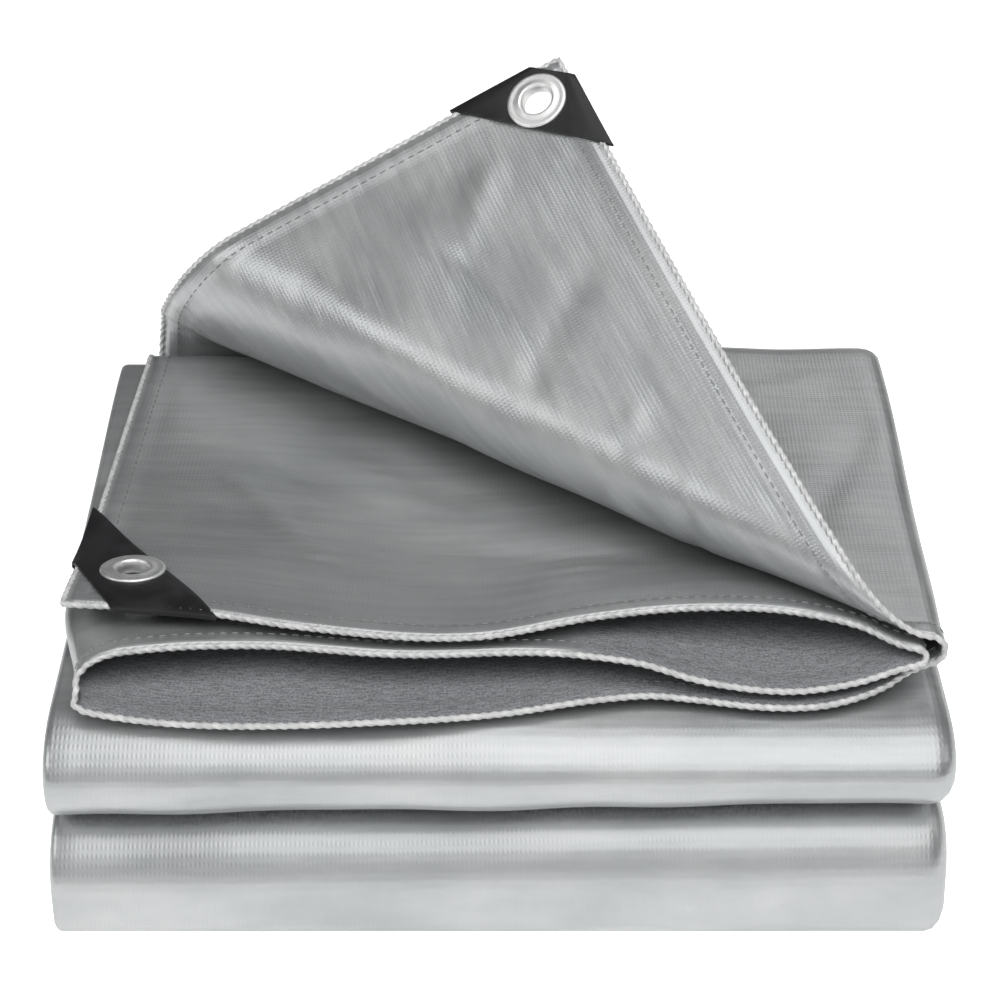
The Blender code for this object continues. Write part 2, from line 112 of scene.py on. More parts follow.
# The top strip's front hem, from the lifted corner of the cloth to the lying one
HEM = (
    # ply, x in the packet, inset, y, z
    ("top", TOP_EDGE_X, 0.0, 0.0621, 0.1051),
    ("top", 0.1500, 0.0, 0.0510, 0.1051),
    ("top", OUTER_FOLD_X, 0.0, 0.0507, 0.1046),
    ("outer fold", None, -0.0010, 0.0500, 0.0985),
    ("lower", OUTER_FOLD_X, -0.0005, 0.0490, 0.0925),
    ("lower", 0.1432, 0.0, 0.0384, 0.0885),
    ("lower", 0.1236, 0.0, 0.0305, 0.0868),
    ("lower", 0.1000, 0.0, 0.0293, 0.0865),
    ("lower", 0.0750, 0.0, 0.0335, 0.0870),
    ("lower", 0.0563, 0.0, 0.0350, 0.0880),
    ("lower", 0.0375, 0.0, 0.0324, 0.0880),
    ("lower", 0.0000, 0.0, 0.0245, 0.0868),
    ("lower", -0.0400, 0.0, 0.0200, 0.0865),
    ("lower", -0.1377, 0.0, 0.0215, 0.0865),
    ("lower", -0.1530, 0.0020, 0.0240, 0.0874),
    ("lower", LEFT_FOLD_X, 0.0078, 0.0272, 0.0890),
    ("left fold", None, 0.0108, 0.0318, 0.0920),
    ("middle", LEFT_FOLD_X, 0.0080, 0.0378, 0.0953),
    ("middle", -0.1505, 0.0008, 0.0448, 0.0992),
    ("middle", -0.1323, 0.0, 0.0484, 0.1000),
    ("middle", -0.0948, 0.0, 0.0510, 0.1000),
    ("middle", -0.0400, 0.0, 0.0464, 0.0990),
    ("middle", 0.0300, 0.0, 0.0460, 0.0990),
    ("middle", 0.0564, 0.0, 0.0411, 0.0975),
    ("middle", 0.0714, 0.0, 0.0370, 0.0945),
    ("middle", 0.0900, 0.0, 0.0340, 0.0922),
    ("middle", 0.1086, 0.0, 0.0325, 0.0915),
    ("middle", 0.1314, 0.0, 0.0360, 0.0924),
    ("middle", INNER_FOLD_X, -0.0020, 0.0435, 0.0960),
    ("inner fold", None, -0.0010, 0.0455, 0.0985),
    ("upper", INNER_FOLD_X, -0.0020, 0.0475, 0.1008),
    ("upper", 0.1368, 0.0, 0.0586, 0.1040),
    ("upper", 0.1145, 0.0, 0.0640, 0.1065),
    ("upper", 0.0763, 0.0, 0.0660, 0.1075),
    ("upper", 0.0381, 0.0, 0.0621, 0.1060),
    ("upper", -0.0075, 0.0, 0.0510, 0.1040),
    ("upper", -0.0759, 0.0, 0.0565, 0.1050),
    ("upper", -0.1127, 0.0, 0.0657, 0.1055),
    ("upper", UPPER_EDGE_X, 0.0, 0.0721, 0.1055),
)
HEM_SETTLES_IN = 0.060

# The lifted corner: the top ply rolls up along a line that starts at the front right and runs
# at an angle to the back left. The roll widens along the line. It turns so far, and the rest of
# the corner leans on from there in a slight bend. Angles are in radians.
LIFT_START = (0.1636, 0.0506)
LIFT_ANGLE = 0.7239
ROLL_AT_START = 0.0053
ROLL_AT_BACK = 0.0438
ROLL_LENGTH = 0.43
ROLL_TAPER = 0.674
ROLL_TURN = 2.40
LEAN_BEND = 0.44

# Corner patches, as distances from the cloth's corner along its hem and its side
PATCHES = {
    # corner: (hem near, hem far, side near, side far)
    "lifted": (0.0121, 0.0549, 0.0125, 0.0515),
    "lying": (0.0191, 0.0600, 0.0395, 0.0920),
}
PATCH_SHEET = 0.0009
PATCH_LIES_ABOVE = 0.0009
PATCH_OVERHANG = 0.0030
PATCH_STEPS = 26
PATCH_BANDS = 14
PATCH_ROUND_STEPS = 3
PATCH_DRAWN_IN = 0.45
PATCH_SOFT_EDGE = 0.00025
PATCH_HOLE_RADIUS = 0.0078
PUNCH_DEPTH = 0.016
MERGE_WITHIN = 0.00002

# Places of the eyelets, from the cloth's corner along its hem and its side
EYELETS = {
    "lifted": (0.0156, 0.0161),
    "lying": (0.0223, 0.0325),
}
EYELET_HOLE = 0.0130
EYELET_OUTER = 0.0260
EYELET_WALL = 0.0006
EYELET_STEPS = 72
CLOTH_HOLE_RADIUS = 0.0088

ROPE_THICKNESS = 0.0023
ROPE_PITCH = 0.0120
ROPE_STRANDS = 3
ROPE_STRAND_DEPTH = 0.24
ROPE_STEP = 0.0011
ROPE_SIDES = 12
STITCH_LENGTH = 0.0030
STITCH_PITCH = 0.0046
STITCH_THICKNESS = 0.0006
STITCH_LIES_ABOVE = 0.0001
STITCH_SEGMENTS = 6
STITCH_RINGS = 4

# Long soft swells of the whole cloth
SWELLS = (
    # size, length across the cloth, length along it, start of the wave
    (0.00045, 0.171, 0.430, 0.4),
    (0.00035, 0.093, -0.310, 2.1),
    (0.00025, 0.061, 0.170, 4.0),
)

# Creases of the top strip, listed one by one
CREASES = (
    # ply, start (x, y), end (x, y), half width, height
    ("upper", (-0.118, 0.170), (-0.080, 0.112), 0.0050, -0.0016),
    ("upper", (-0.080, 0.112), (-0.040, 0.100), 0.0060, -0.0014),
    ("upper", (-0.100, 0.185), (-0.060, 0.150), 0.0070, 0.0012),
    ("upper", (-0.070, 0.205), (-0.010, 0.150), 0.0090, 0.0010),
    ("upper", (-0.030, 0.120), (0.060, 0.098), 0.0070, 0.0010),
    ("top", (-0.135, 0.090), (-0.095, 0.120), 0.0070, -0.0009),
    ("top", (-0.110, 0.130), (-0.040, 0.100), 0.0110, 0.0009),
    ("top", (-0.120, 0.180), (-0.020, 0.140), 0.0110, -0.0010),
    ("top", (-0.060, 0.075), (-0.010, 0.130), 0.0080, 0.0012),
    ("top", (-0.090, 0.210), (0.010, 0.165), 0.0080, 0.0012),
    ("top", (0.010, 0.080), (0.045, 0.120), 0.0060, -0.0010),
    ("top", (0.050, 0.075), (0.080, 0.105), 0.0050, 0.0009),
    ("top", (0.060, 0.220), (0.140, 0.250), 0.0100, 0.0012),
    ("top", (0.120, 0.120), (0.160, 0.220), 0.0080, -0.0010),
)
CREASE_RUNS_ON = 0.12
CREASE_FADES_IN = 0.3
CREASES_FULL_FROM_HEM = 0.045
CREASES_FULL_ABOVE = 0.030

# Where the open folds at the front carry painted shade, a dark speckled weave colour, on the
# middle ply's upper face
FOLD_SHADE_FROM = 0.010
FOLD_SHADE_FADES_IN = 0.030

# How near the slit the two bulges carry the painted shade too
SLIT_SHADE_WITHIN = 0.0015
SLIT_SHADE_FADES_IN = 0.0020

# The grid of the cloth: segments across it, and rows along it
ROW_OF_TOP_STRIP = 20
COLUMNS = {
    # ply or fold: number of segments
    "top": 92,
    "outer fold": 8,
    "lower": 44,
    "left fold": 8,
    "middle": 44,
    "inner fold": 8,
    "upper": 62,
}
TOP_STRIP_ROWS = 92
TURN_ROWS = 12
FLAT_ROWS = 8

# Colours of the finishes, linear
SILVER_PLAIN = (0.5, 0.5, 0.51)
SILVER_SHADED = (0.44, 0.455, 0.46)
SILVER_BRIGHT = (0.61, 0.62, 0.62)
# Painted shade in the open folds and along the slit: a dark colour with a speckled weave grain
FOLD_SHADE_DARK = (0.085, 0.088, 0.097)
FOLD_SHADE_LIGHT = (0.33, 0.34, 0.36)
ROPE_PLAIN = (0.6, 0.6, 0.6)
ROPE_WORN = (0.62, 0.62, 0.62)
ROPE_CLEAN = (0.82, 0.82, 0.81)
THREAD_GREY = (0.34, 0.34, 0.34)
PATCH_PLAIN = (0.012, 0.012, 0.013)
PATCH_BLACK = (0.010, 0.010, 0.011)
PATCH_RUBBED = (0.022, 0.022, 0.024)
ALUMINIUM_PLAIN = (0.86, 0.86, 0.85)
ALUMINIUM_BRIGHT = (0.94, 0.94, 0.93)
ALUMINIUM_DULL = (0.84, 0.84, 0.83)
FLOOR_WHITE = (0.93, 0.93, 0.93)
GLOW_WHITE = (1.0, 1.0, 1.0, 1.0)
SKY_WHITE = (0.95, 0.97, 1.0, 1.0)

SILVER_METALLIC = 0.72
# The metal look of the painted fold shade, and how much of it covers the silver
FOLD_SHADE_METALLIC = 0.25
FOLD_SHADE_SHARE = 0.8
TAPE_PITCH = 0.0017

# Patterns of the cloth, as repeats in a metre across it and along it
STREAKS = (18.0, 200.0, 1.0)
CLOUDS = (12.0, 22.0, 1.0)
FACETS = (26.0, 44.0, 1.0)
THREADS = (170.0, 1200.0, 1.0)
SPECKS = (1100.0, 900.0, 1.0)

# The wave texture repeats each time its scaled place has gone this far
WAVE_LENGTH = 2 * math.pi / 20

# The photographer's table
FLOOR_SIZE = 12.0
FLOOR_HEIGHT = -0.0005
FLOOR_GLOW = 0.5
FLOOR_GLOW_SEEN = 0.8
SKY_STRENGTH = 0.07
CAMERA_BEFORE_STACK = 0.850
CAMERA_HEIGHT = 0.684
CAMERA_TILT = 60.0
CAMERA_LENS = 101.95
CAMERA_SENSOR = 36.0
CAMERA_STARTS_AT = 0.01
LIGHTS = (
    # name, place, looks at, size, power
    ("overhead_box", (0.25, -0.55, 1.35), (0.25, -0.50, 0.0), (1.5, 1.9), 17.0),
    ("front_box", (0.1, -2.5, 1.1), (0.0, 0.0, 0.1), (2.6, 1.8), 10.0),
    ("left_front_box", (-1.3, -0.45, 0.95), (0.0, 0.0, 0.12), (0.9, 0.6), 4.5),
    ("right_side", (1.5, -0.1, 0.9), (0.0, 0.0, 0.08), (0.6, 0.6), 1.5),
    ("right_back", (0.55, 1.5, 0.95), (0.12, 0.03, 0.10), (0.7, 0.5), 1.7),
)


def cross_runs():
    """The cloth's path across the packet: name, start, length, x where it starts, offset there."""
    runs = []
    start = 0.0
    for name, length, x, offset in (
        ("top", OUTER_FOLD_X - TOP_EDGE_X, TOP_EDGE_X, OUTER_OFFSET),
        ("outer fold", math.pi * OUTER_OFFSET, OUTER_FOLD_X, OUTER_OFFSET),
        ("lower", OUTER_FOLD_X - LEFT_FOLD_X, OUTER_FOLD_X, -OUTER_OFFSET),
        ("left fold", math.pi * INNER_OFFSET, LEFT_FOLD_X, -OUTER_OFFSET),
        ("middle", INNER_FOLD_X - LEFT_FOLD_X, LEFT_FOLD_X, -INNER_OFFSET),
        ("inner fold", math.pi * INNER_OFFSET, INNER_FOLD_X, -INNER_OFFSET),
        ("upper", INNER_FOLD_X - UPPER_EDGE_X, INNER_FOLD_X, INNER_OFFSET),
    ):
        runs.append((name, start, length, x, offset))
        start += length
    return runs


RUNS = cross_runs()
RUN_START = {name: start for name, start, _, _, _ in RUNS}
CLOTH_WIDTH = RUNS[-1][1] + RUNS[-1][2]


def across(s):
    """x in the packet and offset from its middle, at a distance s across the cloth."""
    x = np.zeros_like(s)
    offset = np.zeros_like(s)
    for name, start, length, x_start, offset_start in RUNS:
        first = name == RUNS[0][0]
        last = name == RUNS[-1][0]
        here = (first | (s >= start)) & (last | (s < start + length))
        along = s - start
        if name == "outer fold":
            angle = along / OUTER_OFFSET
            fold_x = x_start + OUTER_OFFSET * np.sin(angle)
            fold_offset = OUTER_OFFSET * np.cos(angle)
        elif name == "left fold":
            angle = along / INNER_OFFSET
            fold_x = x_start - INNER_OFFSET * np.sin(angle)
            fold_offset = -PLY_PITCH - INNER_OFFSET * np.cos(angle)
        elif name == "inner fold":
            angle = along / INNER_OFFSET
            fold_x = x_start + INNER_OFFSET * np.sin(angle)
            fold_offset = -INNER_OFFSET * np.cos(angle)
        else:
            rightward = 1.0 if name in ("top", "middle") else -1.0
            fold_x = x_start + rightward * along
            fold_offset = np.full_like(s, offset_start)
        x = np.where(here, fold_x, x)
        offset = np.where(here, fold_offset, offset)
    return x, offset


def station(ply, x):
    """Distance across the cloth of a row of the hem table."""
    for name, start, length, x_start, _ in RUNS:
        if name == ply:
            return start + (length / 2 if x is None else abs(x - x_start))
    raise ValueError(ply)


def through(stations, values, s):
    """A smooth curve through the values at the stations."""
    stations = np.array(stations)
    values = np.array(values)
    slopes = np.gradient(values, stations)
    i = np.clip(np.searchsorted(stations, s) - 1, 0, len(stations) - 2)
    step = stations[i + 1] - stations[i]
    t = np.clip((s - stations[i]) / step, 0, 1)
    return (
        (1 + 2 * t) * (1 - t) ** 2 * values[i]
        + t * (1 - t) ** 2 * step * slopes[i]
        + t**2 * (3 - 2 * t) * values[i + 1]
        - t**2 * (1 - t) * step * slopes[i + 1]
    )


def strip_height(strip):
    """Height of the middle of a strip, the top strip being 0."""
    return LOWEST_OFFSET + (STRIPS - 1 - strip) * STRIP_PITCH


def turn_y(turn):
    """y of the middle of a turn. The even turns are at the back."""
    depth, _, _, back = TURNS[turn]
    reach = depth * (TURN_RADIUS + OUTER_OFFSET) + back
    return DEPTH - reach if turn % 2 == 0 else reach


def round_turn(turn, radius, angle):
    """Distance out of the turn and height over its middle, at an angle from its top."""
    depth, above, below, _ = TURNS[turn]
    power = 2 / (above if angle < math.pi / 2 else below)
    out = depth * radius * math.sin(angle) ** power
    up = radius * math.copysign(abs(math.cos(angle)) ** power, math.cos(angle))
    return out, up


def soft_step(t):
    t = np.clip(t, 0, 1)
    return t * t * (3 - 2 * t)


def towards_back(y):
    """0 to 1 from the middle of the stack to its back."""
    return soft_step((y - BACK_STARTS_AT) / (BACK_TURN_Y - BACK_STARTS_AT))


def slit_rise(x):
    """How far the slit stands above its even height at x."""
    rightward = np.clip(x / WIDTH + 0.5, 0, 1)
    return SLIT_RISE_LEFT + (SLIT_RISE_RIGHT - SLIT_RISE_LEFT) * rightward


def settled(x, y, z):
    """Height of a point once the stack has settled unevenly."""
    rise = slit_rise(x)
    under = soft_step(z / SLIT_HEIGHT)
    over = soft_step((SLIT_RISE_ENDS_AT - z) / (SLIT_RISE_ENDS_AT - SLIT_HEIGHT))
    off = (z - SLIT_HEIGHT) / SLIT_CLOSES_WITHIN
    close = SLIT_CLOSES * off * np.exp((1 - off**2) / 2)
    forward = 1 - soft_step(y / SLIT_RISE_FADES_BY)
    front = (rise * np.minimum(under, over) - close) * forward
    back = BACK_RISE * towards_back(y) * np.clip(z / STACK_HEIGHT, 0, 1)
    return z + front + back


def lifted(x, y):
    """Where the lifted corner moves a point of the top ply: shifts in x, in y and upwards."""
    run = np.array((-math.cos(LIFT_ANGLE), math.sin(LIFT_ANGLE)))
    away = np.array((-math.sin(LIFT_ANGLE), -math.cos(LIFT_ANGLE)))
    dx = x - LIFT_START[0]
    dy = y - LIFT_START[1]
    t = dx * run[0] + dy * run[1]
    s = np.maximum(dx * away[0] + dy * away[1], 0)
    taper = np.clip(t / ROLL_LENGTH, 0, 1) ** ROLL_TAPER
    radius = ROLL_AT_START + (ROLL_AT_BACK - ROLL_AT_START) * taper
    rolled = np.minimum(s, ROLL_TURN * radius)
    straight = s - rolled
    lean_angle = ROLL_TURN + LEAN_BEND * straight / 2
    angle = rolled / radius
    out = radius * np.sin(angle) + straight * np.cos(lean_angle) - s
    up = radius * (1 - np.cos(angle)) + straight * np.sin(lean_angle)
    return out * away[0], out * away[1], up


def fold(s, row):
    """Points of the folded cloth. Row is (strip, kind, share): kind is flat or turn, and share
    is how far along it, in the order in which the packet is folded."""
    strip, kind, share = row
    x, offset = across(s)
    stations = [station(ply, at) for ply, at, _, _, _ in HEM]
    even = across(np.array(stations))[1] + strip_height(0)
    hem_inset = through(stations, [inset for _, _, inset, _, _ in HEM], s)
    hem_y = through(stations, [y for _, _, _, y, _ in HEM], s)
    hem_lift = through(stations, [row[-1] - z for row, z in zip(HEM, even)], s)
    backward = strip % 2 == 0
    way = 1.0 if backward else -1.0
    top_ends = RUN_START["outer fold"]
    upper_starts = RUN_START["upper"]
    in_upper = (s - upper_starts) / (CLOTH_WIDTH - upper_starts)
    free_edge = np.clip(1 - s / top_ends, 0, 1) + np.clip(in_upper, 0, 1)
    if kind == "flat":
        starts = hem_y if strip == 0 else turn_y(strip - 1)
        ends = FAR_HEM_Y if strip == STRIPS - 1 else turn_y(strip)
        y = starts + (ends - starts) * share + np.zeros_like(s)
        bunch = (towards_back(y), 1 - soft_step(share / BUNCH_ENDS_IN), 0, 0, 0)[strip]
        skew = (share, 1 - share, 0, 0, 0)[strip]
        offset = offset + BACK_BUNCH * bunch * (OUTER_OFFSET - offset)
        z = strip_height(strip) + way * offset
        if strip == STRIPS - 1:
            past_start = y - FAR_HEM_Y + HEM_WIDTH + FAR_HEM_RISES_IN
            z = z + FAR_HEM_RISE * soft_step(past_start / FAR_HEM_RISES_IN)
        tangent_y, tangent_z = way, 0.0
        flat_y = y
    else:
        angle = math.pi * share
        skew = 1 if strip == 0 else 0
        if strip == 0:
            offset = offset + BACK_BUNCH * (OUTER_OFFSET - offset)
        turn = TURN_RADIUS + way * offset
        out, up = round_turn(strip, turn, angle)
        y = turn_y(strip) + way * out
        z = strip_height(strip) - TURN_RADIUS + up
        tangent_y, tangent_z = way * math.cos(angle), -math.sin(angle)
        flat_y = turn_y(strip) + turn * angle
    x = x + EDGE_SKEW * skew * free_edge
    if strip == 0:
        top = s < top_ends
        if kind == "flat":
            settle = 1 - soft_step((y - hem_y) / HEM_SETTLES_IN)
            x_shift = hem_inset * settle
            z = z + hem_lift * settle
            fade = 1.0
        else:
            x_shift = 0.0
            fade = 1 - soft_step(share)
        lift_x, lift_y, lift_up = lifted(x, flat_y)
        z = settled(x, y, z)
        x = x + x_shift + np.where(top, lift_x, 0) * fade
        y = y + np.where(top, lift_y * tangent_y - lift_up * tangent_z, 0) * fade
        z = z + np.where(top, lift_y * tangent_z + lift_up * tangent_y, 0) * fade
    else:
        z = settled(x, y, z)
    return np.stack([x, y - ORIGIN_Y, z], axis=-1)


def strip_share(behind):
    """Share of the top strip at a distance behind the front hem."""
    return behind / (BACK_TURN_Y - HEM_LINE_Y)


def sheet_columns():
    """Distances across the cloth of its grid's columns."""
    columns = []
    for name, start, length, _, _ in RUNS:
        count = COLUMNS[name]
        columns += [start + length * i / count for i in range(1, count + 1)]
    last = CLOTH_WIDTH - GRID_CLEAR_OF_EDGE
    inner = [c for c in columns if GRID_CLEAR_OF_EDGE < c < last]
    return np.array([*HEM_LINES, *inner, *(CLOTH_WIDTH - line for line in reversed(HEM_LINES))])


def sheet_rows():
    """Rows of the cloth's grid, and the distance of each along the cloth."""
    top_length = BACK_TURN_Y - HEM_LINE_Y
    flat_length = BACK_TURN_Y - TURN_RADIUS - OUTER_OFFSET
    turn_length = math.pi * TURN_RADIUS
    rows = [(0, "flat", strip_share(line)) for line in HEM_LINES]
    places = list(HEM_LINES)
    for i in range(1, TOP_STRIP_ROWS + 1):
        behind = HEM_WIDTH + (top_length - HEM_WIDTH) * i / TOP_STRIP_ROWS
        rows.append((0, "flat", strip_share(behind)))
        places.append(behind)
    last = STRIPS - 1
    for strip in range(last):
        for i in range(1, TURN_ROWS + 1):
            rows.append((strip, "turn", i / TURN_ROWS))
            places.append(places[-1] + turn_length / TURN_ROWS)
        if strip + 1 < last:
            for i in range(1, FLAT_ROWS + 1):
                rows.append((strip + 1, "flat", i / FLAT_ROWS))
                places.append(places[-1] + flat_length / FLAT_ROWS)
    far_length = FAR_HEM_Y - turn_y(last - 1)
    start = places[-1]
    near_hem = [far_length - line for line in reversed(HEM_LINES)]
    for behind in [far_length * i / FLAT_ROWS for i in range(1, FLAT_ROWS)] + near_hem:
        rows.append((last, "flat", behind / far_length))
        places.append(start + behind)
    return rows, np.array(places)


def place_along(y):
    """Distance along the cloth of a point of the top strip at y, from the front hem."""
    return y - HEM_LINE_Y


def ridge(s, along, ply, start, end, width, height):
    """A soft ridge or trough between two points (x, y) of a ply of the top strip."""
    first = np.array((station(ply, start[0]), place_along(start[1])))
    last = np.array((station(ply, end[0]), place_along(end[1])))
    way = last - first
    length = np.linalg.norm(way)
    t = ((s - first[0]) * way[0] + (along - first[1]) * way[1]) / length**2
    off = ((s - first[0]) * way[1] - (along - first[1]) * way[0]) / length
    starts = soft_step((t + CREASE_RUNS_ON) / CREASE_FADES_IN)
    ends = soft_step((1 + CREASE_RUNS_ON - t) / CREASE_FADES_IN)
    return height * starts * ends * np.exp(-((off / width) ** 2))


def creases(columns, places):
    """How far the cloth stands off its even folds: long swells, then the listed creases."""
    s, along = np.meshgrid(columns, places)
    height = np.zeros_like(s)
    for size, s_length, along_length, turn in SWELLS:
        height += size * np.sin(2 * math.pi * (s / s_length + along / along_length) + turn)
    for ply, start, end, width, size in CREASES:
        height += ridge(s, along, ply, start, end, width, size)
    from_hem = np.minimum.reduce([s, CLOTH_WIDTH - s, along, places[-1] - along])
    return height * soft_step(from_hem / CREASES_FULL_FROM_HEM)


def grid_normals(points):
    """Unit normals of a grid of points."""
    normal = np.cross(np.gradient(points, axis=1), np.gradient(points, axis=0))
    return normal / np.linalg.norm(normal, axis=-1, keepdims=True)


def fold_sheet():
    """The whole cloth as a grid of points, rows along it and columns across it."""
    columns = sheet_columns()
    rows, places = sheet_rows()
    points = np.array([fold(columns, row) for row in rows])
    off_floor = soft_step(points[..., 2] / CREASES_FULL_ABOVE)
    points += grid_normals(points) * (creases(columns, places) * off_floor)[..., None]
    return columns, places, points


def mesh_object(name, points, faces, uvs=None):
    mesh = bpy.data.meshes.new(name)
    mesh.from_pydata([tuple(p) for p in points], [], [tuple(int(i) for i in f) for f in faces])
    if uvs is not None:
        layer = mesh.uv_layers.new(name="cloth")
        index = np.zeros(len(mesh.loops), np.int32)
        mesh.loops.foreach_get("vertex_index", index)
        layer.data.foreach_set("uv", np.asarray(uvs, np.float32)[index].ravel())
    mesh.update()
    made = bpy.data.objects.new(name, mesh)
    bpy.context.scene.collection.objects.link(made)
    return made


def apply_modifiers(obj):
    """Turns the object's live modifiers into its mesh."""
    graph = bpy.context.evaluated_depsgraph_get()
    mesh = bpy.data.meshes.new_from_object(obj.evaluated_get(graph), depsgraph=graph)
    obj.modifiers.clear()
    obj.data = mesh
    return obj


def smooth(obj, sharp_degrees=None):
    obj.data.shade_smooth()
    if sharp_degrees:
        obj.data.set_sharp_from_angle(angle=math.radians(sharp_degrees))
    return obj


def corner_point(corner, along_hem, along_side):
    """Point of the cloth near a corner, at distances from it along its hem and its side."""
    s = along_hem if corner == "lifted" else CLOTH_WIDTH - along_hem
    return fold(np.array([s]), (0, "flat", strip_share(along_side)))[0]


def corner_normal(corner, along_hem, along_side, step=0.004):
    """Upward normal of the cloth near a corner, measured over a step each way."""
    hem_way = corner_point(corner, along_hem + step, along_side) - corner_point(
        corner, along_hem - step, along_side
    )
    side_way = corner_point(corner, along_hem, along_side + step) - corner_point(
        corner, along_hem, along_side - step
    )
    normal = np.cross(hem_way, side_way)
    normal = normal / np.linalg.norm(normal)
    return normal if normal[2] > 0 else -normal


def eyelet_place(corner):
    """Centre of an eyelet, and the way its hole runs."""
    centre = corner_point(corner, *EYELETS[corner])
    normal = corner_normal(corner, *EYELETS[corner], EYELET_OUTER / 2)
    return Vector(centre), Vector(normal)


def mark_painted_fold_shade(cloth, columns, points):
    """Marks the faces of the cloth that lie in the open folds and along the slit, where its finish
    paints in shade.
    """
    count = points.shape[0] * points.shape[1]
    # Painted shade along the slit between the two bulges
    off_slit = np.abs(points[..., 2] - SLIT_HEIGHT - slit_rise(points[..., 0]))
    slit_shade = 1 - soft_step((off_slit - SLIT_SHADE_WITHIN) / SLIT_SHADE_FADES_IN)
    on_lower = (columns > RUN_START["lower"]) & (columns < RUN_START["left fold"])
    from_here = columns - station("middle", FOLD_SHADE_FROM)
    on_middle = soft_step(from_here / FOLD_SHADE_FADES_IN) * (columns < RUN_START["upper"])
    outer = np.maximum(slit_shade * on_lower, on_middle)
    inner = (columns > RUN_START["lower"]) & (columns < RUN_START["inner fold"])
    inner = np.broadcast_to(inner.astype(float), outer.shape)
    middle_of_lower = np.abs(columns - station("lower", 0.0)).argmin()
    on_floor = middle_of_lower + ROW_OF_TOP_STRIP * len(columns)
    vertices = cloth.data.vertices
    first_is_inner = vertices[on_floor].co.z > vertices[on_floor + count].co.z
    faces = (inner, outer) if first_is_inner else (outer, inner)
    # One painted shade value per point, for both faces of the cloth
    marks = np.concatenate([face.ravel() for face in faces])
    layer = cloth.data.attributes.new("painted_fold_shade", "FLOAT", "POINT")
    layer.data.foreach_set("value", marks.astype(np.float32))


def make_cloth(columns, places, points):
    """The cloth: a thin sheet on its folds, thicker along its hem, open at its eyelets."""
    rows, count = points.shape[:2]
    flat = points.reshape(-1, 3)
    first = np.arange(rows * count).reshape(rows, count)[:-1, :-1].ravel()
    quads = np.stack([first, first + 1, first + count + 1, first + count], axis=1)
    middle = flat[quads].mean(axis=1)
    keep = np.ones(len(quads), bool)
    for corner in PATCHES:
        centre = np.array(eyelet_place(corner)[0])
        at_eyelet = np.linalg.norm(middle - centre, axis=1) < CLOTH_HOLE_RADIUS
        if corner == "lifted":
            in_ply = columns[first % count] < RUN_START["outer fold"]
        else:
            in_ply = columns[first % count] > RUN_START["upper"]
        keep &= ~(at_eyelet & in_ply)
    uvs = np.stack(np.meshgrid(columns, places), axis=-1).reshape(-1, 2)
    cloth = mesh_object("tarp_cloth", flat, quads[keep], uvs)
    hem = cloth.vertex_groups.new(name="hem")
    edge = [
        i * count + j
        for i in range(rows)
        for j in range(count)
        if min(i, j, rows - 1 - i, count - 1 - j) <= SEAM_LINE
    ]
    hem.add(edge, 1.0, "REPLACE")
    thickness = cloth.modifiers.new("thickness", "SOLIDIFY")
    thickness.thickness = HEM_CLOTH
    thickness.offset = 0.0
    thickness.vertex_group = hem.name
    thickness.thickness_vertex_group = CLOTH / HEM_CLOTH
    apply_modifiers(cloth)
    mark_painted_fold_shade(cloth, columns, points)
    loose = bmesh.new()
    loose.from_mesh(cloth.data)
    bmesh.ops.delete(loose, geom=[v for v in loose.verts if not v.link_faces], context="VERTS")
    loose.to_mesh(cloth.data)
    loose.free()
    return smooth(cloth)


def edge_loop(points):
    """The cloth's edge as one closed line of points."""
    return np.concatenate(
        [points[0, :-1], points[:-1, -1], points[-1, :0:-1], points[:0:-1, 0]]
    )


def line_object(name, points, edges):
    """An object of points and edges alone, for a node tree to work on."""
    mesh = bpy.data.meshes.new(name)
    mesh.from_pydata([tuple(p) for p in points], edges, [])
    made = bpy.data.objects.new(name, mesh)
    bpy.context.scene.collection.objects.link(made)
    return made


def new_tree(name, sizes):
    """An empty geometry node tree with named size inputs."""
    tree = bpy.data.node_groups.new(name, "GeometryNodeTree")
    tree.interface.new_socket("Geometry", in_out="INPUT", socket_type="NodeSocketGeometry")
    for label, value in sizes.items():
        socket = tree.interface.new_socket(label, in_out="INPUT", socket_type="NodeSocketFloat")
        socket.default_value = value
    tree.interface.new_socket("Geometry", in_out="OUTPUT", socket_type="NodeSocketGeometry")
    start = tree.nodes.new("NodeGroupInput")
    end = tree.nodes.new("NodeGroupOutput")
    return tree, start, end


def add_node(tree, kind, **settings):
    node = tree.nodes.new(kind)
    for name, value in settings.items():
        setattr(node, name, value)
    return node


def join(tree, source, target):
    tree.links.new(source, target)


def maths(tree, operation, *values):
    """The result of a maths node on numbers or on the outputs of other nodes."""
    node = add_node(tree, "ShaderNodeMath", operation=operation)
    for socket, value in zip(node.inputs, values):
        if isinstance(value, (int, float)):
            socket.default_value = value
        else:
            join(tree, value, socket)
    return node.outputs[0]


def run_tree(obj, tree, sizes):
    """Sets the tree's named inputs, turns its result into the object's mesh and drops it."""
    modifier = obj.modifiers.new(tree.name, "NODES")
    modifier.node_group = tree
    for item in tree.interface.items_tree:
        if item.in_out == "INPUT" and item.name in sizes:
            modifier[item.identifier] = sizes[item.name]
    return apply_modifiers(obj)


def end_tree(tree, made, finish, end):
    """Ends the tree with a plain mesh in its finish."""
    real = add_node(tree, "GeometryNodeRealizeInstances")
    join(tree, made, real.inputs["Geometry"])
    coat = add_node(tree, "GeometryNodeSetMaterial")
    coat.inputs["Material"].default_value = finish
    join(tree, real.outputs["Geometry"], coat.inputs["Geometry"])
    join(tree, coat.outputs["Geometry"], end.inputs["Geometry"])
    return tree


